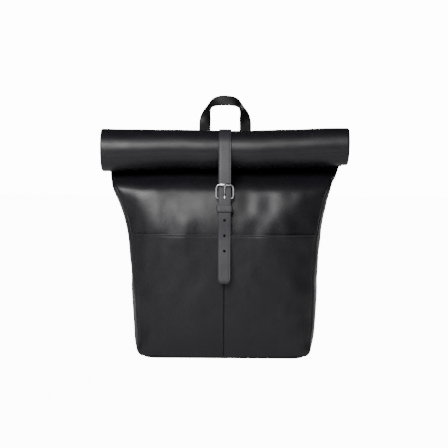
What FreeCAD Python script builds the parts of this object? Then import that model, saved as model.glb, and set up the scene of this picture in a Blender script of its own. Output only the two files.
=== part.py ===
import FreeCAD, Part
import math
import os
import Sketcher

# Roll-top leather backpack, modelled in millimetres.
# X runs across the bag, -Y is the front, +Z is up and the origin is the middle of the base.

doc = FreeCAD.newDocument("RollTopBackpack")
sheet = doc.addObject("Spreadsheet::Sheet", "Sizes")
Vec = FreeCAD.Vector

DRIVING_SIZES = {
    "leather": 1.6,            # panel leather
    "strap_leather": 2.2,      # two plies sewn together
    "base_width": 300,
    "neck_width": 444,
    "roll_width": 460,
    "front_depth": 60,         # from the origin to the front panel at the base
    "back_depth": 70,          # from the origin to the back panel
    "base_panel": 3,           # leather of the base
    "base_corner": 20,         # radius of its corners
    "board_thickness": 2,
    "collar_top": 361,         # height at which the roll-top starts
    "collar_front": 34,
    "collar_back": 48,
    "back_bend": 300,          # height at which the back leans towards the neck
    "pocket_top": 229,
    "pocket_bottom": 4,
    "pocket_border": 7,        # sewn edge round a pocket
    "seam_gap": 0.4,           # clearance between neighbouring panels
    "leaf_thickness": 6,       # both leaves of the roll-top together
    "leaf_gap": 2.8,
    "roll_axis_y": -1,
    "roll_axis_z": 381,
    "roll_radius": 36,
    "roll_pitch": 8.7,         # radius lost in one turn
    "roll_step": 40,           # degrees between two folds of the roll
    "roll_start": 15,
    "fold_clearance": 1.3,     # cut from each end of a strip for the fold
    "stiffener_height": 12,
    "strap_width": 22,
    "strap_offset": 4.8,       # from the middle of the leaf to the middle of the strap
    "strap_fold_gap": 1.0,
    "strap_root_y": 54.5,
    "strap_root_z": 350,
    "tip_y": -89,              # the strap's tail stands off the pockets
    "tip_z": 143,
    "hole_diameter": 4.5,
    "hole_pitch": 28,
    "first_hole": 14,          # below the keeper
    "buckle_y": -56.7,         # heel bar of the buckle
    "buckle_z": 294.5,
    "buckle_tilt": 12,         # degrees that the strap leans back at the buckle
    "buckle_length": 24,       # heel bar to toe bar, along the strap
    "buckle_rise": 9.2,        # toe bar outward of the heel bar
    "buckle_width": 34,
    "bar_diameter": 3.2,
    "roller_diameter": 6,
    "roller_length": 19,
    "strap_rise": 4.9,         # middle of the strap outward of the heel bar
    "keeper_width": 30,
    "keeper_height": 12,
    "keeper_top": -14,
    "handle_width": 98,
    "handle_inside": 54,
    "handle_top": 487,
    "handle_foot": 342,
    "handle_y": 58,
    "handle_thickness": 4,
    "pad_width": 230,
    "pad_height": 226,
    "pad_thickness": 8,
    "pad_foot": 32,            # height of the pad's lower edge
    "yoke_thickness": 2.4,
    "sleeve_width": 264,
    "sleeve_height": 250,
    "sleeve_depth": 14,
    "shoulder_top_x": 45,
    "shoulder_top_y": 84,
    "shoulder_top_z": 284,
    "shoulder_foot_x": 124,
    "shoulder_foot_y": 86,
    "shoulder_foot_z": 30,
    "shoulder_width": 54,
    "shoulder_thickness": 11,
    "slider_width": 30,
    "slider_height": 22,
}

for row, (alias, value) in enumerate(DRIVING_SIZES.items(), start=1):
    sheet.set(f"A{row}", alias)
    sheet.set(f"B{row}", str(value))
    sheet.setAlias(f"B{row}", alias)
doc.recompute()


def size(alias):
    """Value of one cell of the sheet, as a plain number."""
    return float(sheet.get(alias))


pieces = []


def finished(piece, label):
    """Name an object after the real piece that it is, and list it for export."""
    piece.Label = label
    pieces.append(piece)
    return piece


def bind(piece, **formulas):
    """Tie properties of an object to the sheet; a formula names cells as Sizes.alias."""
    for prop, formula in formulas.items():
        piece.setExpression(prop, formula)


def place(piece, x=0.0, y=0.0, z=0.0, turn=0.0):
    """Put an object at a point, turned about the X axis."""
    piece.Placement = FreeCAD.Placement(Vec(x, y, z), FreeCAD.Rotation(Vec(1, 0, 0), turn))
    return piece


def profile_body(name, role, points, length):
    """A body padded evenly to both sides of one of its own origin planes."""
    body = doc.addObject("PartDesign::Body", name)
    plane = next(item for item in body.Origin.OriginFeatures if item.Role == role)
    sketch = body.newObject("Sketcher::SketchObject", name + "_sketch")
    sketch.AttachmentSupport = [(plane, "")]
    sketch.MapMode = "FlatFace"
    corners = [Vec(a, b, 0) for a, b in points]
    for start, end in zip(corners, corners[1:] + corners[:1]):
        sketch.addGeometry(Part.LineSegment(start, end), False)
    count = len(corners)
    for index in range(count):
        sketch.addConstraint(Sketcher.Constraint("Coincident", index, 2, (index + 1) % count, 1))
        sketch.addConstraint(Sketcher.Constraint("Block", index))
    pad = body.newObject("PartDesign::Pad", name + "_pad")
    pad.Profile = sketch
    pad.Midplane = True
    pad.setExpression("Length", length)
    return body


def combine(kind, name, base, tool):
    """Part::Cut or Part::Common of two objects."""
    result = doc.addObject("Part::" + kind, name)
    result.Base = base
    result.Tool = tool
    return result


def fuse(name, parts):
    """One solid made of several that touch."""
    result = doc.addObject("Part::MultiFuse", name)
    result.Shapes = parts
    return result


def centred_box(name, width, depth, height, y=0.0, z=0.0):
    """A box centred on X = 0; depth runs back from y and height up from z."""
    block = doc.addObject("Part::Box", name)
    bind(block, Length=width, Width=depth, Height=height)
    doc.recompute()
    block.Placement.Base = Vec(-block.Length.Value / 2, y, z)
    return block


def cross_bar(name, diameter, length, y=0.0, z=0.0):
    """A round bar along X, centred on X = 0."""
    bar = doc.addObject("Part::Cylinder", name)
    bind(bar, Radius=f"({diameter}) / 2", Height=length)
    doc.recompute()
    bar.Placement = FreeCAD.Placement(
        Vec(-bar.Height.Value / 2, y, z), FreeCAD.Rotation(Vec(0, 1, 0), 90))
    return bar


def offset_line(points, distance):
    """The polyline moved sideways by a distance, to the left of its direction."""
    moved = []
    for index, (a, b) in enumerate(points):
        before = points[max(index - 1, 0)]
        after = points[min(index + 1, len(points) - 1)]
        normals = []
        for start, end in ((before, (a, b)), ((a, b), after)):
            run = math.dist(start, end)
            if run > 0:
                normals.append(((start[1] - end[1]) / run, (end[0] - start[0]) / run))
        middle = [sum(item) / len(normals) for item in zip(*normals)]
        squared = middle[0] ** 2 + middle[1] ** 2
        moved.append((a + distance * middle[0] / squared, b + distance * middle[1] / squared))
    return moved


def ribbon(points, near, far):
    """Closed outline of a sheet that lies between two offsets of a line."""
    return offset_line(points, near) + offset_line(points, far)[::-1]


def above(points, z):
    """The part of a rising polyline above height z."""
    return [(height_on(points, z), z)] + [point for point in points if point[1] > z]


def height_on(points, z):
    """First coordinate of a rising polyline at height z."""
    for (a, low), (b, high) in zip(points, points[1:]):
        if low <= z <= high:
            return a + (b - a) * (z - low) / (high - low)
    raise ValueError("height outside the line")


# ---------------------------------------------------------------- bag shell
# Side view of the front and back, and half of the front view, all going up.

front_line = [
    (-size("front_depth"), 0), (-62, 40), (-63, 120), (-60.5, 226), (-59, 262),
    (-50, 296), (-36, 316), (-10, 330), (14, 337), (30, 343),
    (size("collar_front"), 348), (size("collar_front"), size("collar_top"))]
back_line = [
    (size("back_depth"), 0), (size("back_depth"), size("back_bend")),
    (64, 322), (52, 346), (size("collar_back"), 351), (size("collar_back"), size("collar_top"))]
edge_line = [
    (size("base_width") / 2 - 1, 0), (size("base_width") / 2 + 10, 9), (166, 27), (171, 87),
    (173, 142), (179, 198), (184, 237), (195, 290), (205, 320), (215, 345),
    (size("neck_width") / 2, size("collar_top"))]
leather = size("leather")
gap = size("seam_gap")
whole_width = "Sizes.roll_width"
whole_depth = "4 * Sizes.back_depth"


def mirrored(points):
    """The same points on the other side of the bag."""
    return [(-a, b) for a, b in points]


def side_area(inset):
    """Side view of the bag, drawn in from every face."""
    floor = size("base_panel") + inset
    return (above(offset_line(front_line, -inset), floor)
            + above(offset_line(back_line, inset), floor)[::-1])


def front_area(inset):
    """Front view of the bag, drawn in from both edges."""
    edge = above(offset_line(edge_line, inset), size("base_panel"))
    return edge + mirrored(edge)[::-1]


def sheet_outline(line, thickness):
    """Closed outline of a panel that stands on the base and follows a line."""
    floor = size("base_panel")
    return above(line, floor) + above(offset_line(line, thickness), floor)[::-1]


panel_limits = profile_body("panel_limits", "XZ_Plane", front_area(leather), whole_depth)
for label, line, inward in (("front_panel", front_line, -leather), ("back_panel", back_line, leather)):
    sheet_body = profile_body(label + "_sheet", "YZ_Plane", sheet_outline(line, inward), whole_width)
    finished(combine("Common", label + "_cut", sheet_body, panel_limits), label)

depth_limits = profile_body("depth_limits", "YZ_Plane", side_area(0), whole_width)
for label, outline in (("side_gusset_right", sheet_outline(edge_line, leather)),
                       ("side_gusset_left", mirrored(sheet_outline(edge_line, leather)))):
    strip_body = profile_body(label + "_strip", "XZ_Plane", outline, whole_depth)
    finished(combine("Common", label + "_cut", strip_body, depth_limits), label)


def inner_solid(name, inset):
    """Solid that fills the bag up to a distance from its outside."""
    across = profile_body(name + "_side", "YZ_Plane", side_area(inset), whole_width)
    along = profile_body(name + "_front", "XZ_Plane", front_area(inset), whole_depth)
    return combine("Common", name, across, along)


LINING_THICKNESS = 0.8
lining_outer = inner_solid("lining_outer", leather + gap)
lining_inner = inner_solid("lining_inner", leather + gap + LINING_THICKNESS)
lining_wall = combine("Cut", "lining_wall", lining_outer, lining_inner)
lining_mouth = centred_box("lining_mouth", whole_width, whole_depth, "Sizes.neck_width",
                           y=-2 * size("back_depth"), z=size("back_bend") + 15)
finished(combine("Cut", "lining_cut", lining_wall, lining_mouth), "lining")

# Base: outer leather and the board that keeps it flat, inside under the lining.
base = doc.addObject("PartDesign::Body", "base")
base_plane = next(item for item in base.Origin.OriginFeatures if item.Role == "XY_Plane")
base_sketch = base.newObject("Sketcher::SketchObject", "base_sketch")
base_sketch.AttachmentSupport = [(base_plane, "")]
base_sketch.MapMode = "FlatFace"
corner = [Vec(-1, -1, 0), Vec(1, -1, 0), Vec(1, 1, 0), Vec(-1, 1, 0)]
for start, end in zip(corner, corner[1:] + corner[:1]):
    base_sketch.addGeometry(Part.LineSegment(start * 100, end * 100), False)
for index in range(4):
    base_sketch.addConstraint(Sketcher.Constraint("Coincident", index, 2, (index + 1) % 4, 1))
    direction = "Horizontal" if index % 2 == 0 else "Vertical"
    base_sketch.addConstraint(Sketcher.Constraint(direction, index))
limits = (("DistanceX", 1, "Sizes.base_width / 2 - 4"), ("DistanceY", 2, "Sizes.back_depth"),
          ("DistanceX", 3, "-Sizes.base_width / 2 + 4"), ("DistanceY", 0, "-Sizes.front_depth"))
for kind, line, formula in limits:
    item = base_sketch.addConstraint(Sketcher.Constraint(kind, -1, 1, line, 1, 100.0))
    base_sketch.setExpression(f"Constraints[{item}]", formula)
base_pad = base.newObject("PartDesign::Pad", "base_pad")
base_pad.Profile = base_sketch
base_pad.setExpression("Length", "Sizes.base_panel")
doc.recompute()
base_round = base.newObject("PartDesign::Fillet", "base_round")
upright = [f"Edge{number}" for number, edge in enumerate(base_pad.Shape.Edges, start=1)
           if abs(edge.tangentAt(edge.FirstParameter).z) > 0.9]
base_round.Base = (base_pad, upright)
base_round.setExpression("Radius", "Sizes.base_corner")
finished(base, "bottom_panel")

finished(centred_box("base_board_block", "Sizes.base_width - 34",
                     "Sizes.front_depth + Sizes.back_depth - 14", "Sizes.board_thickness",
                     y=7 - size("front_depth"), z=size("base_panel")), "base_board")

# Two slip pockets side by side on the front, open at the top.
pocket_line = [(-66, size("pocket_bottom")), (-70, 40), (-72.5, 120), (-70, size("pocket_top"))]
panel_below_pocket = [
    (height_on(front_line, z), z) for z in (size("pocket_bottom"), 40, 120, 226)]
panel_below_pocket.append((height_on(front_line, size("pocket_top")), size("pocket_top")))
cavity_line = offset_line(pocket_line, -leather)
border = size("pocket_border")


def pocket_region(side, inset, floor, top):
    """Front view of one pocket, with its edge drawn in from the gusset and the middle."""
    edge = [point for point in above(edge_line, floor) if point[1] < size("pocket_top")]
    edge.append((height_on(edge_line, size("pocket_top")), top))
    outer = [(a - inset, b) for a, b in edge]
    middle = inset - 3
    return [(side * a, b) for a, b in [(middle, floor)] + outer + [(middle, top)]]


for label, side in (("front_pocket_right", 1), ("front_pocket_left", -1)):
    wall = profile_body(label + "_wall", "YZ_Plane",
                        pocket_line + panel_below_pocket[::-1], whole_width)
    region = profile_body(label + "_region", "XZ_Plane",
                          pocket_region(side, 3.3, size("pocket_bottom"), size("pocket_top")),
                          whole_depth)
    hollow = profile_body(label + "_hollow", "YZ_Plane",
                          cavity_line + panel_below_pocket[::-1], whole_width)
    inside = profile_body(label + "_inside", "XZ_Plane",
                          pocket_region(side, 3.3 + border, 14, size("pocket_top") + 5),
                          whole_depth)
    block = combine("Common", label + "_block", wall, region)
    cavity = combine("Common", label + "_cavity", hollow, inside)
    finished(combine("Cut", label + "_cut", block, cavity), label)

# Laptop sleeve on the inside of the back: a front wall, two sides and a floor, open at the top.
SLEEVE_FLOOR, SLEEVE_WALL = 8, 2
sleeve_back = size("back_depth") - leather - gap - LINING_THICKNESS - gap
sleeve_block = centred_box("sleeve_block", "Sizes.sleeve_width", "Sizes.sleeve_depth",
                           "Sizes.sleeve_height", y=sleeve_back - size("sleeve_depth"),
                           z=SLEEVE_FLOOR)
sleeve_space = centred_box("sleeve_space", "Sizes.sleeve_width - 2 * Sizes.leather",
                           "Sizes.sleeve_depth", "Sizes.sleeve_height",
                           y=sleeve_back - size("sleeve_depth") + SLEEVE_WALL,
                           z=SLEEVE_FLOOR + leather)
finished(combine("Cut", "sleeve_cut", sleeve_block, sleeve_space), "laptop_sleeve")

# ---------------------------------------------------------------- back of the bag
back = size("back_depth")
pad_block = centred_box("pad_block", "Sizes.pad_width", "Sizes.pad_thickness",
                        "Sizes.pad_height", y=back, z=size("pad_foot"))
doc.recompute()
pad_round = doc.addObject("Part::Fillet", "pad_round")
pad_round.Base = pad_block
pad_round.Edges = [(number, 3.0, 3.0) for number, edge in enumerate(pad_block.Shape.Edges, start=1)
                   if edge.BoundBox.YMin > back + 1]
finished(pad_round, "back_pad")

finished(centred_box("yoke_block", "2 * Sizes.shoulder_top_x + 60",
                     "Sizes.yoke_thickness", "38", y=back, z=261), "yoke_patch")
patch_line = [(height_on(back_line, z), z) for z in (304, 322, 334)]
finished(profile_body("handle_patch_sheet", "YZ_Plane", ribbon(patch_line, -0.1, -3.1),
                      "Sizes.handle_width + 16"), "handle_patch")


def slanted_box(name, start, end, width, thickness):
    """Flat strap between two points of the YZ plane, centred on X = 0."""
    run = math.dist(start, end)
    plate = doc.addObject("Part::Box", name)
    bind(plate, Length=width, Width=thickness)
    plate.Height = run
    doc.recompute()
    lean = math.degrees(math.atan2(start[0] - end[0], end[1] - start[1]))
    middle = Vec(-plate.Length.Value / 2, -plate.Width.Value / 2, 0)
    turn = FreeCAD.Rotation(Vec(1, 0, 0), lean)
    plate.Placement = FreeCAD.Placement(Vec(0, start[0], start[1]) + turn.multVec(middle), turn)
    return plate


def trimmed(start, end, cut):
    """The same run, shortened by cut at both ends."""
    run = math.dist(start, end)
    step = [(b - a) * cut / run for a, b in zip(start, end)]
    return (start[0] + step[0], start[1] + step[1]), (end[0] - step[0], end[1] - step[1])


# Carry handle: a flat leather bow standing behind the roll.
half_out = size("handle_width") / 2
half_in = size("handle_inside") / 2
handle_top = size("handle_top")
handle_foot = size("handle_foot")
bow_out = [(half_out, handle_foot), (half_out, handle_top - 38), (half_out - 5, handle_top - 26),
           (half_out - 13, handle_top - 18), (half_out - 22, handle_top - 3),
           (half_out - 30, handle_top)]
bow_in = [(half_in, handle_foot), (half_in, handle_top - 20)]
handle_body = profile_body("handle_bow", "XZ_Plane",
                           bow_out + mirrored(bow_out)[::-1] + mirrored(bow_in) + bow_in[::-1],
                           "Sizes.handle_thickness")
handle_body.Placement.Base = Vec(0, size("handle_y"), 0)
finished(handle_body, "carry_handle")

# ---------------------------------------------------------------- roll-top
# The two leaves of the collar, flattened together and rolled towards the front.
# Each strip between two folds is one rigid piece.

roll_axis = (size("roll_axis_y"), size("roll_axis_z"))


def on_roll(angle):
    """Point of the rolled leaf; the radius shrinks with the angle."""
    radius = size("roll_radius") - size("roll_pitch") * angle / 360
    return (roll_axis[0] + radius * math.cos(math.radians(angle)),
            roll_axis[1] + radius * math.sin(math.radians(angle)))


STRIP_COUNT = 11
collar_middle = (size("collar_front") + size("collar_back")) / 2
folds = [(collar_middle, size("collar_top") + 2)]
folds += [on_roll(size("roll_start") + size("roll_step") * turn) for turn in range(STRIP_COUNT)]

for number, (low, high) in enumerate(zip(folds[:STRIP_COUNT], folds[1:]), start=1):
    start, end = trimmed(low, high, size("fold_clearance"))
    name = f"roll_strip_{number:02d}"
    outside = slanted_box(name + "_outside", start, end, whole_width, "Sizes.leaf_thickness")
    inside = slanted_box(name + "_inside", start, end,
                         "Sizes.roll_width - 2 * Sizes.leather", "Sizes.leaf_gap")
    finished(combine("Cut", name + "_cut", outside, inside), name)

# Stiff bar sewn between the leaves along the mouth, which makes the roll straight.
bar_start, bar_end = trimmed(folds[-2], folds[-1], (math.dist(folds[-2], folds[-1])
                                                  - size("stiffener_height")) / 2)
finished(slanted_box("stiffener_block", bar_start, bar_end,
                     "Sizes.roll_width - 2 * Sizes.leather - 1", "Sizes.leaf_gap - 0.4"),
         "mouth_stiffener")

# ---------------------------------------------------------------- closing strap and buckle
tilt = math.radians(size("buckle_tilt"))


def at_buckle(along, outward):
    """Point given along the strap and outward from the heel bar of the buckle."""
    return (size("buckle_y") + along * math.sin(tilt) - outward * math.cos(tilt),
            size("buckle_z") + along * math.cos(tilt) + outward * math.sin(tilt))


strap_points = [(size("strap_root_y"), size("strap_root_z"))]
strap_points += offset_line(folds[:6], -size("strap_offset"))[1:]
strap_points += [at_buckle(36, size("strap_rise")), at_buckle(-27, size("strap_rise")),
                 (size("tip_y"), size("tip_z"))]

anchor_line = [(height_on(back_line, z), z) for z in (310, 322, 347)]
finished(profile_body("strap_anchor_sheet", "YZ_Plane", ribbon(anchor_line, -3.4, -5.6),
                      "Sizes.strap_width"), "closing_strap_anchor")

LINKS = len(strap_points) - 1
for number, (low, high) in enumerate(zip(strap_points, strap_points[1:]), start=1):
    start, end = trimmed(low, high, size("strap_fold_gap"))
    name = f"closing_strap_{number:02d}"
    link = slanted_box(name + "_plate", start, end, "Sizes.strap_width", "Sizes.strap_leather")
    holes = []
    if number == LINKS - 1:
        slot = centred_box(name + "_slot", "Sizes.bar_diameter + 2.6", "12", "14", y=-12, z=-2)
        place(slot, x=slot.Placement.Base.x, y=at_buckle(-2, 12)[0], z=at_buckle(-2, 12)[1],
              turn=-size("buckle_tilt"))
        holes.append(slot)
    if number == LINKS:
        run = math.dist(low, high)
        for index in range(3):
            share = (size("first_hole") + size("hole_pitch") * index) / run
            hole = doc.addObject("Part::Cylinder", f"{name}_hole_{index + 1}")
            bind(hole, Radius="Sizes.hole_diameter / 2")
            hole.Height = 20
            hole.Placement = FreeCAD.Placement(
                Vec(0, low[0] + (high[0] - low[0]) * share + 10,
                    low[1] + (high[1] - low[1]) * share), FreeCAD.Rotation(Vec(1, 0, 0), 90))
            holes.append(hole)
    if holes:
        link = combine("Cut", name + "_cut", link, fuse(name + "_holes", holes)
                       if len(holes) > 1 else holes[0])
    finished(link, name)

# Roller buckle. Its pieces are drawn with the heel bar on the X axis and the strap going up,
# then leaned back together.
toe = (-size("buckle_rise"), size("buckle_length"))
rail_x = (size("buckle_width") - size("bar_diameter")) / 2
frame_parts = [
    cross_bar("heel_bar", "Sizes.bar_diameter", "Sizes.buckle_width - Sizes.bar_diameter"),
    cross_bar("toe_bar", "Sizes.bar_diameter - 0.6", "Sizes.buckle_width - Sizes.bar_diameter",
              y=toe[0], z=toe[1])]
rail_lean = math.degrees(math.atan2(-toe[0], toe[1]))
for side in (-1, 1):
    rail = doc.addObject("Part::Cylinder", f"rail_{side + 2}")
    bind(rail, Radius="Sizes.bar_diameter / 2")
    rail.Height = math.hypot(*toe)
    place(rail, x=side * rail_x, turn=rail_lean)
    frame_parts.append(rail)
    for index, (y, z) in enumerate(((0, 0), toe)):
        knuckle = doc.addObject("Part::Sphere", f"knuckle_{side + 2}_{index}")
        bind(knuckle, Radius="Sizes.bar_diameter / 2")
        frame_parts.append(place(knuckle, x=side * rail_x, y=y, z=z))


def at_heel_bar(piece):
    """Put a piece drawn round the heel bar where the buckle hangs."""
    return place(piece, y=size("buckle_y"), z=size("buckle_z"), turn=-size("buckle_tilt"))


finished(at_heel_bar(fuse("frame_joined", frame_parts)), "buckle_frame")

roller = combine("Cut", "roller_tube",
                 cross_bar("roller_outside", "Sizes.roller_diameter", "Sizes.roller_length",
                           y=toe[0], z=toe[1]),
                 cross_bar("roller_bore", "Sizes.bar_diameter", "2 * Sizes.roller_length",
                           y=toe[0], z=toe[1]))
finished(at_heel_bar(roller), "buckle_roller")

PRONG_RADIUS = 1.4
prong_foot, prong_tip = (-3.0, 1.0), (-16.2, 26.5)
prong_rod = doc.addObject("Part::Cylinder", "prong_rod")
prong_rod.Radius = PRONG_RADIUS
prong_rod.Height = math.dist(prong_foot, prong_tip)
place(prong_rod, y=prong_foot[0], z=prong_foot[1],
      turn=math.degrees(math.atan2(prong_foot[0] - prong_tip[0], prong_tip[1] - prong_foot[1])))
prong_end = doc.addObject("Part::Sphere", "prong_end")
prong_end.Radius = PRONG_RADIUS
place(prong_end, y=prong_tip[0], z=prong_tip[1])
prong_solid = fuse("prong_solid", [
    prong_rod, prong_end, cross_bar("prong_eye", "Sizes.bar_diameter + 3.2", "4.4")])
prong = combine("Cut", "prong_cut", prong_solid,
                cross_bar("prong_bore", "Sizes.bar_diameter + 0.4", "10"))
finished(at_heel_bar(prong), "buckle_prong")

# Leather chape: folded round the heel bar, split for the prong and sewn to the front panel.
chape_top, chape_low = at_buckle(-1.5, 1.4), at_buckle(-44, 1.4)
chape_outline = [chape_top, chape_low, (height_on(front_line, 249) - 0.1, 249),
                 (height_on(front_line, 262) - 0.1, 262), (height_on(front_line, 284) - 0.1, 284)]
chape_body = profile_body("chape_body", "YZ_Plane", chape_outline, "Sizes.strap_width")
chape_fold = at_heel_bar(combine(
    "Cut", "chape_fold",
    cross_bar("chape_outside", "Sizes.bar_diameter + 4", "Sizes.strap_width"),
    cross_bar("chape_inside", "Sizes.bar_diameter + 0.6", "2 * Sizes.strap_width")))
chape_bore = cross_bar("chape_bore", "Sizes.bar_diameter + 0.6", "2 * Sizes.strap_width",
                       y=size("buckle_y"), z=size("buckle_z"))
chape_split = centred_box("chape_split", "Sizes.bar_diameter + 2.6", "24", "9",
                          y=size("buckle_y") - 12, z=size("buckle_z") - 4.6)
chape_whole = fuse("chape_whole", [chape_body, chape_fold])
finished(combine("Cut", "chape_cut", combine("Cut", "chape_open", chape_whole, chape_bore),
                 chape_split), "buckle_chape")

# Fixed keeper: a leather loop round the strap below the buckle.
rise = size("strap_rise")
keeper_block = centred_box("keeper_block", "Sizes.keeper_width", "7.2", "Sizes.keeper_height",
                           y=-rise - 3.9, z=size("keeper_top") - size("keeper_height"))
keeper_space = centred_box("keeper_space", "Sizes.keeper_width - 5",
                           "Sizes.strap_leather + 0.8", "3 * Sizes.keeper_height",
                           y=-rise - size("strap_leather") / 2 - 0.4,
                           z=size("keeper_top") - 2 * size("keeper_height"))
finished(at_heel_bar(combine("Cut", "keeper_cut", keeper_block, keeper_space)), "strap_keeper")

# ---------------------------------------------------------------- shoulder straps


def section(centre, direction, width, thickness):
    """Rectangle across a strap that runs along direction, its width level with the floor."""
    along = Vec(*direction).normalize()
    wide = along.cross(Vec(0, 1, 0)).normalize()
    thick = along.cross(wide).normalize()
    middle = Vec(*centre)
    corners = [middle + wide * (width / 2 * a) + thick * (thickness / 2 * b)
               for a, b in ((-1, -1), (1, -1), (1, 1), (-1, 1))]
    return Part.makePolygon(corners + corners[:1])


def strap_solid(stations, side):
    """Loft through sections given as (point, width, thickness), mirrored by side."""
    points = [point for point, width, thickness in stations]
    wires = []
    for index, (point, width, thickness) in enumerate(stations):
        before, after = points[max(index - 1, 0)], points[min(index + 1, len(points) - 1)]
        heading = [(b - a) * factor for a, b, factor in zip(before, after, (side, 1, 1))]
        wires.append(section((side * point[0], point[1], point[2]), heading, width, thickness))
    return Part.makeLoft(wires, True, True)


top_point = (size("shoulder_top_x"), size("shoulder_top_y"), size("shoulder_top_z"))
foot_point = (size("shoulder_foot_x"), size("shoulder_foot_y"), size("shoulder_foot_z"))
pad_end = (98, 118, 128)
web = size("strap_width")
yoke = size("yoke_thickness")
padded = size("shoulder_thickness")
pad_stations = [
    (top_point, web, 4), ((53, 103, 266), 34, 7), ((64, 120, 236), size("shoulder_width"), padded),
    ((82, 127, 190), size("shoulder_width"), padded), ((93, 122, 150), 40, padded),
    (pad_end, web + 4, 6)]


def between(start, end, share):
    """Point at a share of the way between two points."""
    return tuple(a + (b - a) * share for a, b in zip(start, end))


for label, side in (("right", 1), ("left", -1)):
    pad = doc.addObject("Part::Feature", "shoulder_pad_" + label)
    pad.Shape = strap_solid(pad_stations, side)
    finished(pad, "shoulder_pad_" + label)

    lower = doc.addObject("Part::Feature", "lower_strap_" + label)
    lower_ends = [(between(pad_end, foot_point, share), web, size("strap_leather"))
                  for share in (0.02, 0.99)]
    lower.Shape = strap_solid(lower_ends, side)
    finished(lower, "lower_strap_" + label)

    slider = doc.addObject("Part::Feature", "strap_slider_" + label)
    middle = 0.62
    half_share = size("slider_height") / 2 / math.dist(pad_end, foot_point)
    outer_ends = [(between(pad_end, foot_point, share), size("slider_width"), 6.4)
                  for share in (middle - half_share, middle + half_share)]
    bore_ends = [(between(pad_end, foot_point, share), web + 1.6, 3.4)
                 for share in (middle - 2 * half_share, middle + 2 * half_share)]
    slider.Shape = strap_solid(outer_ends, side).cut(strap_solid(bore_ends, side))
    finished(slider, "strap_slider_" + label)

    anchor = doc.addObject("Part::Box", "shoulder_anchor_" + label)
    bind(anchor, Length="Sizes.strap_width + 8")
    anchor.Width = top_point[1] - back - yoke + 2
    anchor.Height = 8
    anchor.Placement.Base = Vec(side * top_point[0] - (web + 8) / 2, back + yoke, top_point[2] + 7)
    finished(anchor, "shoulder_anchor_" + label)

    tab = doc.addObject("Part::Box", "bottom_tab_" + label)
    bind(tab, Length="Sizes.strap_width + 4")
    tab.Width = foot_point[1] - back + 3
    tab.Height = 5
    tab.Placement.Base = Vec(side * foot_point[0] - (web + 4) / 2, back, foot_point[2] - 8.5)
    finished(tab, "bottom_tab_" + label)

# ---------------------------------------------------------------- checks and files
doc.recompute()
for item in doc.Objects:
    if {"Invalid", "Error"} & set(item.State):
        raise RuntimeError(f"{item.Label} failed: {item.State}")
for piece in pieces:
    if piece.Shape.isNull() or not piece.Shape.isValid() or not piece.Shape.Solids:
        raise RuntimeError(f"{piece.Label} has no valid solid")

os.makedirs("parts", exist_ok=True)
for piece in pieces:
    piece.Shape.exportStep(f"parts/{piece.Label}.step")
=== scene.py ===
import math

import bmesh
import bpy
from mathutils import Matrix, Vector, noise


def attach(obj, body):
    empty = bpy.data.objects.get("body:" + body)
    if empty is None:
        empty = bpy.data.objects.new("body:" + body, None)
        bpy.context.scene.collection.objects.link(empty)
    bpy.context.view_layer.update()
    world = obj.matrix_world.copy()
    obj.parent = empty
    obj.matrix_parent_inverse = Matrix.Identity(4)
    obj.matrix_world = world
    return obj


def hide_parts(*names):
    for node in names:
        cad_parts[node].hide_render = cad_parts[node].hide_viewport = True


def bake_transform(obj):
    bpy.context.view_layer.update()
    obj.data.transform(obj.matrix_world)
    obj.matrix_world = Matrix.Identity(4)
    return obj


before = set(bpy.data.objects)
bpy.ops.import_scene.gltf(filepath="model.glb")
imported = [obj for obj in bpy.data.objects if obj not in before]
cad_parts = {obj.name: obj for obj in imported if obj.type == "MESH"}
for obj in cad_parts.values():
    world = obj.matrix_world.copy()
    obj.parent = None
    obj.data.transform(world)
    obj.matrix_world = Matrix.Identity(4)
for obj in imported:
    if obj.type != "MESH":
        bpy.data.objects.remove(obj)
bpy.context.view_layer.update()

scene = bpy.context.scene

# ---------------------------------------------------------------- bottom of the bag
# A rounded panel of the same black leather as the body, turned up at its edge and sewn to
# the walls, with a fibreboard inside that keeps it flat. All lengths here are millimetres.

MM = 0.001


def put(tree, kind, sockets=None, **settings):
    """Add a node, give it its settings, and fill or connect its sockets."""
    made = tree.nodes.new(kind)
    for name, value in settings.items():
        setattr(made, name, value)
    for name, value in (sockets or {}).items():
        if isinstance(value, bpy.types.NodeSocket):
            tree.links.new(value, made.inputs[name])
        else:
            made.inputs[name].default_value = value
    return made


def math_of(tree, operation, first, second=0.5):
    return put(tree, "ShaderNodeMath", {0: first, 1: second}, operation=operation).outputs[0]


def new_material(name):
    """A material, its node tree and its shader."""
    material = bpy.data.materials.new(name)
    material.use_nodes = True
    return material, material.node_tree, material.node_tree.nodes["Principled BSDF"]


def shade(tree, value, dark, light, low=0.0, high=1.0):
    """A colour that goes from dark to light as the value goes from low to high."""
    ramp = put(tree, "ShaderNodeValToRGB", {"Fac": value})
    for stop, place, colour in zip(ramp.color_ramp.elements, (low, high), (dark, light)):
        stop.position, stop.color = place, (*colour, 1)
    return ramp.outputs["Color"]


def object_place(tree):
    return put(tree, "ShaderNodeTexCoord").outputs["Object"]


def effect(name, takes, gives):
    """A new node group with named inputs and outputs."""
    group = bpy.data.node_groups.new(name, "ShaderNodeTree")
    for label, value in takes.items():
        kind = "NodeSocketVector" if value is None else "NodeSocketFloat"
        socket = group.interface.new_socket(name=label, in_out="INPUT", socket_type=kind)
        if value is not None:
            socket.default_value = value
    for label in gives:
        group.interface.new_socket(name=label, in_out="OUTPUT", socket_type="NodeSocketFloat")
    return group, group.nodes.new("NodeGroupInput").outputs, group.nodes.new("NodeGroupOutput")


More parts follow.
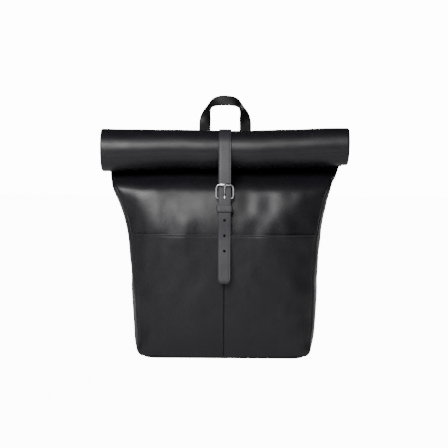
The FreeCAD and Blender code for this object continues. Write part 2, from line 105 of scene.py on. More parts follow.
# Grain: shallow pebbles with finer pores between them, soft mottling, and short creases.
leather_grain, given, out = effect(
    "leather_grain", {"Vector": None, "Pebbles": 800.0, "Creases": 0.3},
    ("Height", "Mottle"))
pebbles = put(leather_grain, "ShaderNodeTexVoronoi",
              {"Vector": given["Vector"], "Scale": given["Pebbles"], "Smoothness": 0.6},
              feature="SMOOTH_F1").outputs["Distance"]
pores = put(leather_grain, "ShaderNodeTexNoise",
            {"Vector": given["Vector"], "Detail": 3.0,
             "Scale": math_of(leather_grain, "MULTIPLY", given["Pebbles"], 1.9)}).outputs[0]
bent = put(leather_grain, "ShaderNodeTexNoise",
           {"Vector": given["Vector"], "Scale": 55.0, "Detail": 4.0, "Distortion": 0.6}).outputs[0]
ridge = math_of(leather_grain, "ABSOLUTE", math_of(leather_grain, "SUBTRACT", bent, 0.5))
crease = put(leather_grain, "ShaderNodeMapRange",
             {"Value": ridge, "From Min": 0.0, "From Max": 0.025, "To Min": 1.0, "To Max": 0.0},
             interpolation_type="SMOOTHSTEP").outputs[0]
body_grain = math_of(leather_grain, "ADD", math_of(leather_grain, "MULTIPLY", pebbles, 0.6),
                     math_of(leather_grain, "MULTIPLY", pores, 0.35))
leather_grain.links.new(
    math_of(leather_grain, "SUBTRACT", body_grain,
            math_of(leather_grain, "MULTIPLY", crease, given["Creases"])), out.inputs["Height"])
leather_grain.links.new(
    put(leather_grain, "ShaderNodeTexNoise",
        {"Vector": given["Vector"], "Scale": 22.0, "Detail": 5.0, "Roughness": 0.6}).outputs[0],
    out.inputs["Mottle"])

# Handling: places rubbed smoother by hands, and a little dust on what faces up.
handling, given, out = effect("handling", {"Vector": None, "Amount": 0.4}, ("Rub", "Dust"))
patches = put(handling, "ShaderNodeTexNoise",
              {"Vector": given["Vector"], "Scale": 9.0, "Detail": 6.0, "Roughness": 0.62,
               "Distortion": 0.8}).outputs[0]
rubbed = put(handling, "ShaderNodeMapRange",
             {"Value": patches, "From Min": 0.48, "From Max": 0.72}).outputs[0]
handling.links.new(math_of(handling, "MULTIPLY", rubbed, given["Amount"]), out.inputs["Rub"])
facing = put(handling, "ShaderNodeSeparateXYZ",
             {0: put(handling, "ShaderNodeNewGeometry").outputs["Normal"]}).outputs["Z"]
specks = put(handling, "ShaderNodeTexNoise",
             {"Vector": given["Vector"], "Scale": 420.0, "Detail": 2.0}).outputs[0]
dusty = put(handling, "ShaderNodeMapRange",
            {"Value": specks, "From Min": 0.6, "From Max": 0.8}).outputs[0]
upward = put(handling, "ShaderNodeMapRange",
             {"Value": facing, "From Min": 0.2, "From Max": 1.0}).outputs[0]
handling.links.new(
    math_of(handling, "MULTIPLY", math_of(handling, "MULTIPLY", dusty, upward),
            given["Amount"]), out.inputs["Dust"])


def leather(name, dark, light, rough, pebbles, depth, creases, rub, shine=0.5):
    """Dyed leather: colour range, roughness, pebble count per metre and depth in mm."""
    material, tree, shader = new_material(name)
    where = object_place(tree)
    grain = put(tree, "ShaderNodeGroup", node_tree=leather_grain)
    hand = put(tree, "ShaderNodeGroup", node_tree=handling)
    for group, values in ((grain, {"Pebbles": pebbles, "Creases": creases}),
                          (hand, {"Amount": rub})):
        tree.links.new(where, group.inputs["Vector"])
        for label, value in values.items():
            group.inputs[label].default_value = value
    dusted = put(tree, "ShaderNodeMixRGB", {
        "Fac": hand.outputs["Dust"],
        "Color1": shade(tree, grain.outputs["Mottle"], dark, light, 0.3, 0.75),
        "Color2": (0.09, 0.09, 0.095, 1)})
    tree.links.new(dusted.outputs[0], shader.inputs["Base Color"])
    even = put(tree, "ShaderNodeMapRange", {
        "Value": grain.outputs["Mottle"], "From Min": 0.25, "From Max": 0.75,
        "To Min": rough + 0.04, "To Max": rough - 0.04}).outputs[0]
    softer = math_of(tree, "SUBTRACT", even, math_of(tree, "MULTIPLY", hand.outputs["Rub"], 0.16))
    tree.links.new(math_of(tree, "ADD", softer,
                           math_of(tree, "MULTIPLY", hand.outputs["Dust"], 0.3)),
                   shader.inputs["Roughness"])
    bump = put(tree, "ShaderNodeBump", {
        "Height": grain.outputs["Height"], "Distance": depth * MM, "Strength": 0.8})
    tree.links.new(bump.outputs["Normal"], shader.inputs["Normal"])
    shader.inputs["Specular IOR Level"].default_value = shine
    return material


panel_leather = leather("panel_leather", (0.0052, 0.0044, 0.0066), (0.0104, 0.0090, 0.0130),
                        rough=0.43, pebbles=760.0, depth=0.10, creases=0.35, rub=0.5)


SHARP_ANGLE = 40.0


def piece(name, shape, material, body=None, replaces=(), thick=0.0, bevel=0.0):
    """Make the object from a bmesh in millimetres and fix it to its body.
    An edge that turns by more than SHARP_ANGLE isn't shaded round."""
    bmesh.ops.scale(shape, vec=(MM, MM, MM), verts=shape.verts)
    for edge in shape.edges:
        if len(edge.link_faces) == 2:
            edge.smooth = edge.calc_face_angle(0) < math.radians(SHARP_ANGLE)
    mesh = bpy.data.meshes.new(name)
    for face in shape.faces:
        face.smooth = True
    shape.to_mesh(mesh)
    shape.free()
    made = bpy.data.objects.new(name, mesh)
    scene.collection.objects.link(made)
    mesh.materials.append(material)
    if thick:
        wall = made.modifiers.new("wall", "SOLIDIFY")
        wall.thickness, wall.offset, wall.use_even_offset = thick * MM, -1, True
    if bevel:
        rim = made.modifiers.new("rim", "BEVEL")
        rim.width, rim.segments, rim.limit_method = bevel * MM, 2, "ANGLE"
        rim.angle_limit = math.radians(50)
    if body:
        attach(made, body)
    if replaces:
        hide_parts(*replaces)
    return made


def block(low, high):
    """A box between two corners, in mm."""
    shape = bmesh.new()
    bmesh.ops.create_cube(shape, size=1)
    bmesh.ops.scale(shape, vec=[b - a for a, b in zip(low, high)], verts=shape.verts)
    bmesh.ops.translate(shape, vec=[(a + b) / 2 for a, b in zip(low, high)], verts=shape.verts)
    return shape


def rounded(shape, edges, radius, segments):
    bmesh.ops.bevel(shape, geom=edges, offset=radius, segments=segments, profile=0.5,
                    affect="EDGES", material=-1)
    return shape


def upright(shape):
    return [e for e in shape.edges if abs(e.verts[0].co.z - e.verts[1].co.z) > 1]


BOTTOM_HALF_WIDTH, BOTTOM_FRONT, BOTTOM_BACK, BOTTOM_TOP = 148, -60, 70, 3
bottom = block((-BOTTOM_HALF_WIDTH, BOTTOM_FRONT, 0), (BOTTOM_HALF_WIDTH, BOTTOM_BACK, BOTTOM_TOP))
rounded(bottom, upright(bottom), 26, 8)
rounded(bottom, [e for e in bottom.edges if all(v.co.z < 1 for v in e.verts)], 1.2, 3)
piece("bottom_leather", bottom, panel_leather, "root", ["bottom_panel"])

fibreboard, tree, shader = new_material("fibreboard")
flecks = put(tree, "ShaderNodeTexNoise", {
    "Vector": object_place(tree), "Scale": 300.0, "Detail": 6.0}).outputs[0]
tree.links.new(shade(tree, flecks, (0.018, 0.017, 0.016), (0.06, 0.055, 0.05)),
               shader.inputs["Base Color"])
tree.links.new(put(tree, "ShaderNodeBump", {"Height": flecks, "Distance": 0.2 * MM}).outputs[0],
               shader.inputs["Normal"])
tree.links.new(put(tree, "ShaderNodeMapRange", {
    "Value": flecks, "To Min": 0.6, "To Max": 0.9}).outputs[0], shader.inputs["Roughness"])

base_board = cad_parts["base_board"]
base_board.data.materials.clear()
base_board.data.materials.append(fibreboard)

# ---------------------------------------------------------------- walls of the bag
# Front, back and two side gussets of 1.6 mm leather, sewn inside out and turned, so each seam
# is a soft valley. The walls lean back to a flat neck where the roll-top starts.

FRONT_SIDE_VIEW = [(-60, 3), (-62, 40), (-63, 120), (-62, 200), (-60.5, 229), (-57.5, 248),
                   (-53, 268), (-47, 288), (-37, 313), (-10, 330), (14, 337), (30, 343),
                   (34, 348), (34, 361)]
BACK_SIDE_VIEW = [(70, 3), (70, 300), (64, 322), (52, 346), (48, 351), (48, 361)]
HALF_FRONT_VIEW = [(155, 3), (163, 9), (168, 27), (171, 87), (173.5, 142), (179, 198),
                   (184, 237), (195, 290), (205, 320), (215, 345), (222, 361)]


def evenly(points, count):
    """Points spaced evenly along a polyline."""
    runs = [0.0]
    for a, b in zip(points, points[1:]):
        runs.append(runs[-1] + math.dist(a, b))
    spaced, at = [], 0
    for step in range(count):
        target = runs[-1] * step / (count - 1)
        while at < len(points) - 2 and runs[at + 1] < target:
            at += 1
        share = (target - runs[at]) / max(runs[at + 1] - runs[at], 1e-9)
        spaced.append(tuple(a + (b - a) * share for a, b in zip(points[at], points[at + 1])))
    return spaced


def eased(points, rounds):
    """The line with its corners rounded off; the ends stay."""
    for _ in range(rounds):
        middle = [tuple((a + 2 * b + c) / 4 for a, b, c in zip(*three))
                  for three in zip(points, points[1:], points[2:])]
        points = [points[0]] + middle + [points[-1]]
    return points


def along(points, share):
    """Point at a share of a line of evenly spaced points."""
    place = min(max(share, 0), 1) * (len(points) - 1)
    low = min(int(place), len(points) - 2)
    return tuple(a + (b - a) * (place - low) for a, b in zip(points[low], points[low + 1]))


def by_height(line):
    """First coordinate of a rising line, for each millimetre of height."""
    table, at = [], 0
    for z in range(int(line[-1][1]) + 2):
        while at < len(line) - 2 and line[at + 1][1] < z:
            at += 1
        (a, low), (b, high) = line[at], line[at + 1]
        table.append(a + (b - a) * min(max((z - low) / (high - low), 0), 1))
    return table


def level(table, z):
    """Value of such a table at any height."""
    low = int(min(max(z, 0), len(table) - 2))
    return table[low] + (table[low + 1] - table[low]) * (min(max(z, 0), len(table) - 1) - low)


def step(value, low, high):
    """0 below low, 1 above high, and smooth between."""
    share = min(max((value - low) / (high - low), 0), 1)
    return share * share * (3 - 2 * share)


front_path = eased(evenly(FRONT_SIDE_VIEW, 160), 26)
back_path = eased(evenly(BACK_SIDE_VIEW, 160), 26)
edge_heights = by_height(eased(evenly(HALF_FRONT_VIEW, 160), 6))
front_heights, back_heights = by_height(front_path), by_height(back_path)


def outline_at(z):
    return level(edge_heights, z)


def seam_at(z):
    """Half the width of the front panel at a height."""
    return outline_at(z) - 2 - 8 * step(z, 3, 30) * (1 - step(z, 300, 355))


def turned_back(z):
    """How far the front panel curves back at its side seams."""
    return 9 + 13 * step(z, 0, 80) - 16 * step(z, 255, 340)


def rumpled(x, y, z):
    """The leather's soft hollows: a point of the wall, moved in or out a little."""
    wide = noise.noise(Vector((x / 80, y / 80, z / 110)) + Vector((3.1, 0, 1.7)))
    small = noise.noise(Vector((x / 26, y / 26, z / 40)) + Vector((7.3, 2.2, 0)))
    calm = 1 - 0.9 * math.exp(-(x / 34) ** 2) * step(-y, -20, 10)
    amount = (3.6 * wide + 1.6 * small) * calm * step(z, 3, 45) * (1 - step(z, 325, 352))
    x -= 8 * step(-x / outline_at(z), 0.2, 1) * math.exp(-((z - 308) / 36) ** 2)
    depth = (level(front_heights, min(z, 300)) + 70) / 2
    out_x = math.copysign(min(abs(x) / outline_at(z), 1) ** 6, x)
    out_y = math.copysign(min(abs(y - depth) / 65, 1) ** 6, y - depth)
    size = math.hypot(out_x, out_y) or 1
    return Vector((x + amount * out_x / size, y + amount * out_y / size, z))


def front_skin(u, v):
    across = 2 * u - 1
    y, z = along(front_path, v)
    seam = seam_at(z)
    tuck = 1.5 * math.exp(-(1 - abs(across)) * seam / 2.4)
    return rumpled(seam * across - math.copysign(tuck, across),
                   y + turned_back(z) * abs(across) ** 4.2 + tuck, z)


def back_skin(u, v):
    across = 2 * u - 1
    y, z = along(back_path, v)
    seam = seam_at(z)
    tuck = 1.5 * math.exp(-(1 - abs(across)) * seam / 2.4)
    return rumpled(seam * across - math.copysign(tuck, across),
                   y - 5 * abs(across) ** 6 - tuck, z)


def gusset_skin(side):
    """Surface of one side; u runs from the front seam to the back seam."""
    def skin(u, v):
        (front_y, front_z), (rear_y, rear_z) = along(front_path, v), along(back_path, v)
        front_x, rear_x = seam_at(front_z), seam_at(rear_z)
        z = front_z + (rear_z - front_z) * u
        depth = rear_y - 5 - front_y - turned_back(front_z)
        y = front_y + turned_back(front_z) + depth * u
        straight = front_x + (rear_x - front_x) * u
        bulge = max(outline_at(z) - straight, 0) * math.sin(math.pi * u) ** 0.62
        fold = 5 * step(z, 285, 345) * math.exp(-((u - 0.5) / 0.16) ** 2)
        near = min(u, 1 - u) * depth
        tuck = 1.5 * math.exp(-near / 2.4)
        toward = tuck if u < 0.5 else -tuck
        return rumpled(side * (straight + bulge - fold - tuck), y + toward, z)
    return skin


def draped(columns, rows, surface, outward):
    """A grid laid on surface(u, v), where u and v go from 0 to 1, looking outward."""
    shape = bmesh.new()
    bmesh.ops.create_grid(shape, x_segments=columns, y_segments=rows, size=0.5)
    for vert in shape.verts:
        vert.co = surface(vert.co.x + 0.5, vert.co.y + 0.5)
    shape.normal_update()
    if sum((face.normal * face.calc_area() for face in shape.faces), Vector()).dot(outward) < 0:
        bmesh.ops.reverse_faces(shape, faces=shape.faces)
    return shape


LEATHER = 1.6
for name, skin, columns, outward in (
        ("front_panel", front_skin, 150, Vector((0, -1, 0))),
        ("back_panel", back_skin, 150, Vector((0, 1, 0))),
        ("side_gusset_right", gusset_skin(1), 50, Vector((1, 0, 0))),
        ("side_gusset_left", gusset_skin(-1), 50, Vector((-1, 0, 0)))):
    piece(name + "_leather", draped(columns, 130, skin, outward), panel_leather,
          "root", [name], thick=LEATHER)

# ---------------------------------------------------------------- lining and laptop sleeve
# A loose bag of dark woven cotton inside the leather, and a padded sleeve of the same cloth
# for a laptop, open at the top, sewn to the lining's back.

woven, given, out = effect("woven", {"Vector": None, "Threads": 1400.0}, ("Height", "Shade"))
across = put(woven, "ShaderNodeTexWave", {"Vector": given["Vector"], "Distortion": 0.4,
                                          "Scale": given["Threads"]}, bands_direction="X")
upwards = put(woven, "ShaderNodeTexWave", {"Vector": given["Vector"], "Distortion": 0.4,
                                           "Scale": given["Threads"]}, bands_direction="Z")
woven.links.new(math_of(woven, "MAXIMUM", across.outputs["Fac"], upwards.outputs["Fac"]),
                out.inputs["Height"])
woven.links.new(put(woven, "ShaderNodeTexNoise", {"Vector": given["Vector"], "Scale": 90.0,
                                                  "Detail": 5.0}).outputs[0],
                out.inputs["Shade"])


def cloth(name, dark, light, threads):
    material, tree, shader = new_material(name)
    weave = put(tree, "ShaderNodeGroup", node_tree=woven)
    tree.links.new(object_place(tree), weave.inputs["Vector"])
    weave.inputs["Threads"].default_value = threads
    woven_tone = math_of(tree, "MULTIPLY", weave.outputs["Shade"], weave.outputs["Height"])
    tree.links.new(shade(tree, woven_tone, dark, light), shader.inputs["Base Color"])
    tree.links.new(put(tree, "ShaderNodeMapRange", {
        "Value": weave.outputs["Shade"], "To Min": 0.75, "To Max": 0.95}).outputs[0],
        shader.inputs["Roughness"])
    tree.links.new(put(tree, "ShaderNodeBump", {
        "Height": weave.outputs["Height"], "Distance": 0.15 * MM}).outputs[0],
        shader.inputs["Normal"])
    shader.inputs["Sheen Weight"].default_value = 0.3
    return material


lining_cotton = cloth("lining_cotton", (0.012, 0.012, 0.014), (0.06, 0.06, 0.066), 700.0)
LINING_TOP = 315


def lining_skin(u, v):
    z = 5.2 + (LINING_TOP - 5.2) * v
    angle = 2 * math.pi * u
    front, rear = level(front_heights, z) + 3.4, level(back_heights, z) - 3.4
    middle, half_depth = (front + rear) / 2, (rear - front) / 2
    slack = 1.5 * noise.noise(Vector((math.cos(angle) * 3, math.sin(angle) * 3, z / 60)))
    half = outline_at(z) - 14 - slack
    swell = [math.copysign(abs(f) ** 0.4, f) for f in (math.cos(angle), math.sin(angle))]
    return Vector((half * swell[0], middle + (half_depth - 2.5 + slack) * swell[1], z))


lining = draped(160, 60, lining_skin, Vector((0, 0, 1)))
bmesh.ops.remove_doubles(lining, verts=lining.verts, dist=0.001)
floor_edges = [e for e in lining.edges if e.is_boundary and e.verts[0].co.z < 6]
bmesh.ops.holes_fill(lining, edges=floor_edges, sides=0)
bmesh.ops.recalc_face_normals(lining, faces=lining.faces)
piece("lining_cloth", lining, lining_cotton, "root", ["lining"], thick=0.8)

sleeve = block((-132, 52.8, 8), (132, 66.4, 258))
bmesh.ops.delete(sleeve, geom=[f for f in sleeve.faces if f.normal.z > 0.9], context="FACES")
rounded(sleeve, upright(sleeve), 5, 5)
bmesh.ops.subdivide_edges(sleeve, edges=[e for e in upright(sleeve)], cuts=20)
piece("laptop_sleeve_cloth", sleeve, lining_cotton, "root", ["laptop_sleeve"],
      thick=1.6, bevel=0.5)

# ---------------------------------------------------------------- front pockets
# Two slip pockets side by side. Each is one panel of leather whose top edge is turned and
# creased; they meet in a seam down the middle and are caught in the side and base seams.

POCKET_FLOOR, POCKET_TOP = 4, 229
pocket_heights = by_height(
    eased(evenly([(-64, 4), (-70, 40), (-72.5, 120), (-70, 229)], 80), 10))


def groove(distance, middle, width, depth):
    """Depth of a rounded groove at a distance across it."""
    return depth * math.exp(-((distance - middle) / width) ** 2)


def pocket_skin(side):
    def skin(u, v):
        z = POCKET_FLOOR + (POCKET_TOP - POCKET_FLOOR) * v
        seam = seam_at(z) - 1.2
        x = 0.35 + (seam - 0.35) * u
        share = x / seam_at(z)
        panel = level(front_heights, z) + turned_back(z) * share ** 4.2
        proud = level(pocket_heights, z) - level(front_heights, z)
        y = panel + proud * (1 - u ** 7)
        y += 0.8 * math.exp(-(x / 1.1) ** 2)
        below = POCKET_TOP - z
        y += groove(below, 3.6, 0.8, 0.4) - groove(below, 1.2, 1.3, 0.2)
        y += 1.2 * math.exp(-(seam - x) / 2.2)
        return rumpled(side * x, y, z)
    return skin


for name, side in (("front_pocket_right", 1), ("front_pocket_left", -1)):
    piece(name + "_leather", draped(110, 200, pocket_skin(side), Vector((0, -1, 0))),
          panel_leather, "root", [name], thick=LEATHER, bevel=0.3)

# ---------------------------------------------------------------- thread
# Waxed black thread in straight rows, one short stitch at a time.

waxed_thread, tree, shader = new_material("waxed_thread")
twist = put(tree, "ShaderNodeTexWave", {
    "Vector": put(tree, "ShaderNodeMapping", {
        "Vector": object_place(tree), "Rotation": (0.6, 0.5, 0.4)}).outputs[0],
    "Scale": 900.0, "Distortion": 1.0}).outputs["Fac"]
tree.links.new(shade(tree, twist, (0.008, 0.008, 0.009), (0.03, 0.03, 0.033)),
               shader.inputs["Base Color"])
tree.links.new(put(tree, "ShaderNodeMapRange", {
    "Value": twist, "To Min": 0.4, "To Max": 0.6}).outputs[0], shader.inputs["Roughness"])
tree.links.new(put(tree, "ShaderNodeBump", {"Height": twist, "Distance": 0.1 * MM}).outputs[0],
               shader.inputs["Normal"])


def sew(shape, line, outward, pitch=3.6):
    """Add a row of stitches along a line of points, lying on the surface that looks outward."""
    length = sum(math.dist(a, b) for a, b in zip(line, line[1:]))
    points = [Vector(p) for p in evenly([tuple(p) for p in line], int(length / pitch) * 2 + 1)]
    for here, after in zip(points[::2], points[1::2]):
        heading = (after - here).normalized()
        up = Vector(outward).normalized()
        side = heading.cross(up).normalized()
        turn = Matrix((heading, side, heading.cross(side))).transposed().to_4x4()
        bmesh.ops.create_uvsphere(
            shape, u_segments=6, v_segments=4, radius=1,
            matrix=Matrix.Translation((here + after) / 2) @ turn
            @ Matrix.Diagonal((pitch * 0.36, 0.36, 0.26, 1)))


pocket_thread = bmesh.new()
for side in (1, -1):
    skin = pocket_skin(side)
    high = (POCKET_TOP - 3.6 - POCKET_FLOOR) / (POCKET_TOP - POCKET_FLOOR)
    sew(pocket_thread, [skin(u / 60, high) for u in range(1, 60)], (0, -1, 0))
    sew(pocket_thread, [skin(5 / (seam_at(4 + 225 * v / 60) - 1.5), v / 60)
                        for v in range(1, 58)], (0, -1, 0))
piece("pocket_thread", pocket_thread, waxed_thread, "root")

# ---------------------------------------------------------------- roll-top
# The two leaves of the collar pressed together and rolled forwards just over one turn round a stiff
# bar in the mouth. Each piece spans one fold.

LEAF_MIDDLE = (41, 363)
ROLL_Y, ROLL_Z, ROLL_RADIUS, ROLL_PITCH = -1, 381, 36, 8.7
ROLL_FIRST, ROLL_STEP, STRIPS = 15, 40, 11
ROLL_HALF = 229


def on_roll(degrees):
    radius = ROLL_RADIUS - ROLL_PITCH * degrees / 360
    return (ROLL_Y + radius * math.cos(math.radians(degrees)),
            ROLL_Z + radius * math.sin(math.radians(degrees)))


folds = [LEAF_MIDDLE] + [on_roll(ROLL_FIRST + ROLL_STEP * k) for k in range(STRIPS)]
roll_line = [(41, 352), (41, 361), (40.5, 366), (38.6, 374), (36.4, 382)]
roll_line += [on_roll(a) for a in range(15, 416)]
roll_path = eased(evenly(roll_line, 700), 14)


def nearest(path, point):
    """Index of the point of a path that is nearest to a point."""
    return min(range(len(path)), key=lambda i: math.dist(path[i], point))


def halfway(a, b):
    return tuple((p + q) / 2 for p, q in zip(a, b))


def crossed(first, second):
    return Vector(first).cross(Vector(second)).normalized()


def lofted(centres, wides, outlines, closed=False, reshape=None):
    """A closed outline carried along a line; each outline is a list of (across, out) pairs.
    reshape(point, row) may move each point of a ring."""
    count, columns = len(centres), len(outlines[0])
    rows = count if closed else count - 1
    rings = []
    for i, centre in enumerate(centres):
        before = centres[i - 1] if closed or i else centre
        after = centres[(i + 1) % count] if closed or i < count - 1 else centre
        wide = Vector(wides[i]).normalized()
        outward = crossed(Vector(after) - Vector(before), wide)
        ring = [Vector(centre) + wide * a + outward * b for a, b in outlines[i]]
        rings.append([reshape(point, i) for point in ring] if reshape else ring)
    shape = bmesh.new()
    bmesh.ops.create_grid(shape, x_segments=columns, y_segments=rows, size=0.5)
    for vert in shape.verts:
        row, column = round((vert.co.y + 0.5) * rows), round((vert.co.x + 0.5) * columns)
        vert.co = rings[row % count][column % columns]
    bmesh.ops.remove_doubles(shape, verts=shape.verts, dist=0.0005)
    if not closed:
        bmesh.ops.holes_fill(shape, edges=[e for e in shape.edges if e.is_boundary], sides=0)
    bmesh.ops.recalc_face_normals(shape, faces=shape.faces)
    return shape


def band(width, thickness, steps=24, crease=0.0, inset=2.4):
    """Outline of a flat strip with round edges and a creased line along each edge."""
    half, deep = width / 2, thickness / 2
    face = []
    for i in range(steps + 1):
        a = -half * math.cos(math.pi * i / steps)
        past = abs(a) - (half - deep)
        b = deep if past < 0 else math.sqrt(max(deep ** 2 - past ** 2, 0))
        face.append((a, b - groove(half - abs(a), inset, 0.55, crease)))
    return face + [(a, -b) for a, b in face[-2:0:-1]]


def between_cuts(path, start, end, space):
    """Points of a path from start to end, with one more very close to each end, so that two
    pieces that meet there are shaded as one."""
    picked = list(range(start, end, space)) + [end]
    if len(picked) > 2 and picked[-1] - picked[-2] < space / 2:
        picked.pop(-2)
    line = [path[i] for i in picked]
    close = 0.04
    first = tuple(a + (b - a) * close for a, b in zip(line[0], line[1]))
    last = tuple(a + (b - a) * close for a, b in zip(line[-1], line[-2]))
    return ([line[0], first] + line[1:-1] + [last, line[-1]],
            [start, start] + picked[1:-1] + [end, end])


def roll_shape(x, y, z, run):
    """The roll as it sits: drawn in under the strap, tighter and higher at its right end."""
    set_in = step(run, 20, 75)
    right, left = step(x, 30, 240), step(-x, 60, 240)
    y_from, z_from = y - ROLL_Y, z - ROLL_Z
    grow = 1 + (0.12 * left - 0.05 * right) * set_in
    lift = (4 * (x / 230) ** 2 + 4.3 * right - 7 * left) * set_in
    lift *= 1 - 0.6 * step(run, 150, 230)
    waves = noise.noise(Vector((x / 70, y / 60, z / 60 + 4))) * 1.6 + noise.noise(
        Vector((x / 24 + 9, y / 30, z / 30))) * 0.35
    size = math.hypot(y_from, z_from) or 1
    swell = (waves + 1.2) * set_in * (1 - math.exp(-(x / 26) ** 2))
    swell *= step(size, 24, 33)
    return Vector((x, ROLL_Y + y_from * (grow + swell / size),
                   ROLL_Z + z_from * (grow + swell / size) + lift))


ROLL_RUN = sum(math.dist(a, b) for a, b in zip(roll_path, roll_path[1:]))


def rolled(start, end, half_width, thickness):
    """A flat sheet that follows the roll from one index of its path to another."""
    line, places = between_cuts(roll_path, start, end, 6)
    runs = [ROLL_RUN * place / (len(roll_path) - 1) for place in places]
    outlines = [band(2 * half_width(run), thickness, steps=64) for run in runs]
    return lofted([(0, y, z) for y, z in line], [(1, 0, 0)] * len(line), outlines,
                  reshape=lambda point, row: roll_shape(*point, runs[row]))


def leaf_half(run):
    return 221 + (ROLL_HALF - 221) * step(run, 0, 40) + 1.5 * math.sin(run / 55)


def leaf(name, start, end, node):
    """One piece of the rolled leaf, from one index of its path to another."""
    return piece(name, rolled(start, end, leaf_half, 6.0), panel_leather, None,
                 [node])


cuts = [0] + [nearest(roll_path, halfway(a, b)) for a, b in zip(folds, folds[1:])]
roll_bodies = ["root"] + [f"roll_{k:02d}" for k in range(1, STRIPS + 1)]
for k in range(STRIPS):
    made = leaf(f"roll_leaf_{k + 1:02d}", cuts[k], cuts[k + 1], f"roll_strip_{k + 1:02d}")
    fold = nearest(roll_path, folds[k])
    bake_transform(made)
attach(leaf(f"roll_leaf_{STRIPS + 1:02d}", cuts[-1], len(roll_path) - 1,
             f"roll_strip_{STRIPS:02d}"), roll_bodies[-1])

bar_reach = int(6 * (len(roll_path) - 1) / ROLL_RUN)
piece("mouth_stiffener_bar",
      rolled(cuts[-1] - bar_reach, cuts[-1] + bar_reach, lambda run: 224, 2.2), fibreboard,
      roll_bodies[-1], ["mouth_stiffener"])

# ---------------------------------------------------------------- closing strap
# One strip of bridle leather, two plies thick, sewn to the back, brought over the roll and down
# through the buckle. Its edges are creased and rounded, and its tip is blunt.

strap_leather = leather("strap_leather", (0.022, 0.0205, 0.026), (0.040, 0.038, 0.046),
                        rough=0.46, pebbles=950.0, depth=0.07, creases=0.15, rub=0.4)

BUCKLE_Y, BUCKLE_Z, BUCKLE_TILT = -56.7, 294.5, math.radians(12)
STRAP_WIDTH, STRAP_THICK, STRAP_RISE = 23.2, 2.4, 4.9
TIP = (-90, 142)


def at_buckle(up, out, x=0.0):
    """A point up along the strap and outward from the buckle's heel bar."""
    return Vector((x, BUCKLE_Y + up * math.sin(BUCKLE_TILT) - out * math.cos(BUCKLE_TILT),
                   BUCKLE_Z + up * math.cos(BUCKLE_TILT) + out * math.sin(BUCKLE_TILT)))


strap_joints = [(54.5, 350), (37.8, 392.4), (21.7, 413.7), (-4.6, 419.6), (-27.9, 407.6),
                (-37.1, 385.6)] + [tuple(at_buckle(up, STRAP_RISE)[1:]) for up in (36, -27)]
over_roll = [(ROLL_Y + (ROLL_RADIUS - ROLL_PITCH * a / 360 + 5.1) * math.cos(math.radians(a)),
              ROLL_Z + (ROLL_RADIUS - ROLL_PITCH * a / 360 + 5.1) * math.sin(math.radians(a)))
             for a in range(20, 165, 5)]
strap_line = [(74.4, 300), (74.2, 311), (69.2, 322), (57.2, 344), (54.5, 350), (48, 366)]
strap_line += over_roll + [tuple(at_buckle(up, STRAP_RISE)[1:]) for up in (22, -8, -27)]
strap_line += [(-69.0, 256), (-70.8, 240), (-73.2, 222), (-76.6, 204), (-80.8, 184), TIP]
strap_path = eased(evenly(strap_line, 900), 60)
strap_path = strap_path[nearest(strap_path, (73.6, 311)):]
strap_joint_places = [nearest(strap_path, joint) for joint in strap_joints]
strap_cuts = [0]
for low, high in zip(strap_joint_places, strap_joint_places[1:] + [None]):
    strap_cuts.append((low + high) // 2 if high else nearest(strap_path, (-69.9, 247)))
strap_cuts.append(len(strap_path) - 1)
STRAP_STEP = math.dist(strap_path[400], strap_path[401])


def strap_outline(place):
    """Section of the strap; it narrows over the last 9 mm to a blunt end."""
    left = (len(strap_path) - 1 - place) * STRAP_STEP
    narrow = 0.53 + 0.35 * step(left, -2, 10) + 0.12 * step(left, 0, 1.6)
    return [(a * narrow, b * min(1, 0.35 + left / 4))
            for a, b in band(STRAP_WIDTH, STRAP_THICK, steps=30, crease=0.32)]


def carved(made, cutters):
    """Cut shapes out of an object, and keep the result as its mesh."""
    for number, cutter in enumerate(cutters):
        mesh = bpy.data.meshes.new(f"cutter_{number}")
        bmesh.ops.scale(cutter, vec=(MM, MM, MM), verts=cutter.verts)
        cutter.to_mesh(mesh)
        cutter.free()
        tool = bpy.data.objects.new(f"cutter_{number}", mesh)
        scene.collection.objects.link(tool)
        cut = made.modifiers.new("cut", "BOOLEAN")
        cut.operation, cut.object, cut.solver = "DIFFERENCE", tool, "EXACT"
        bpy.context.view_layer.update()
        carved_mesh = bpy.data.meshes.new_from_object(
            made.evaluated_get(bpy.context.evaluated_depsgraph_get()))
        made.modifiers.clear()
        made.data = carved_mesh
        bpy.data.objects.remove(tool)
    return made


def rod(start, end, radius, sides=24):
    """A round bar between two points."""
    shape = bmesh.new()
    start, end = Vector(start), Vector(end)
    turn = (end - start).to_track_quat("Z", "Y").to_matrix().to_4x4()
    bmesh.ops.create_cone(
        shape, cap_ends=True, segments=sides, radius1=radius, radius2=radius,
        depth=(end - start).length, matrix=Matrix.Translation((start + end) / 2) @ turn)
    return shape


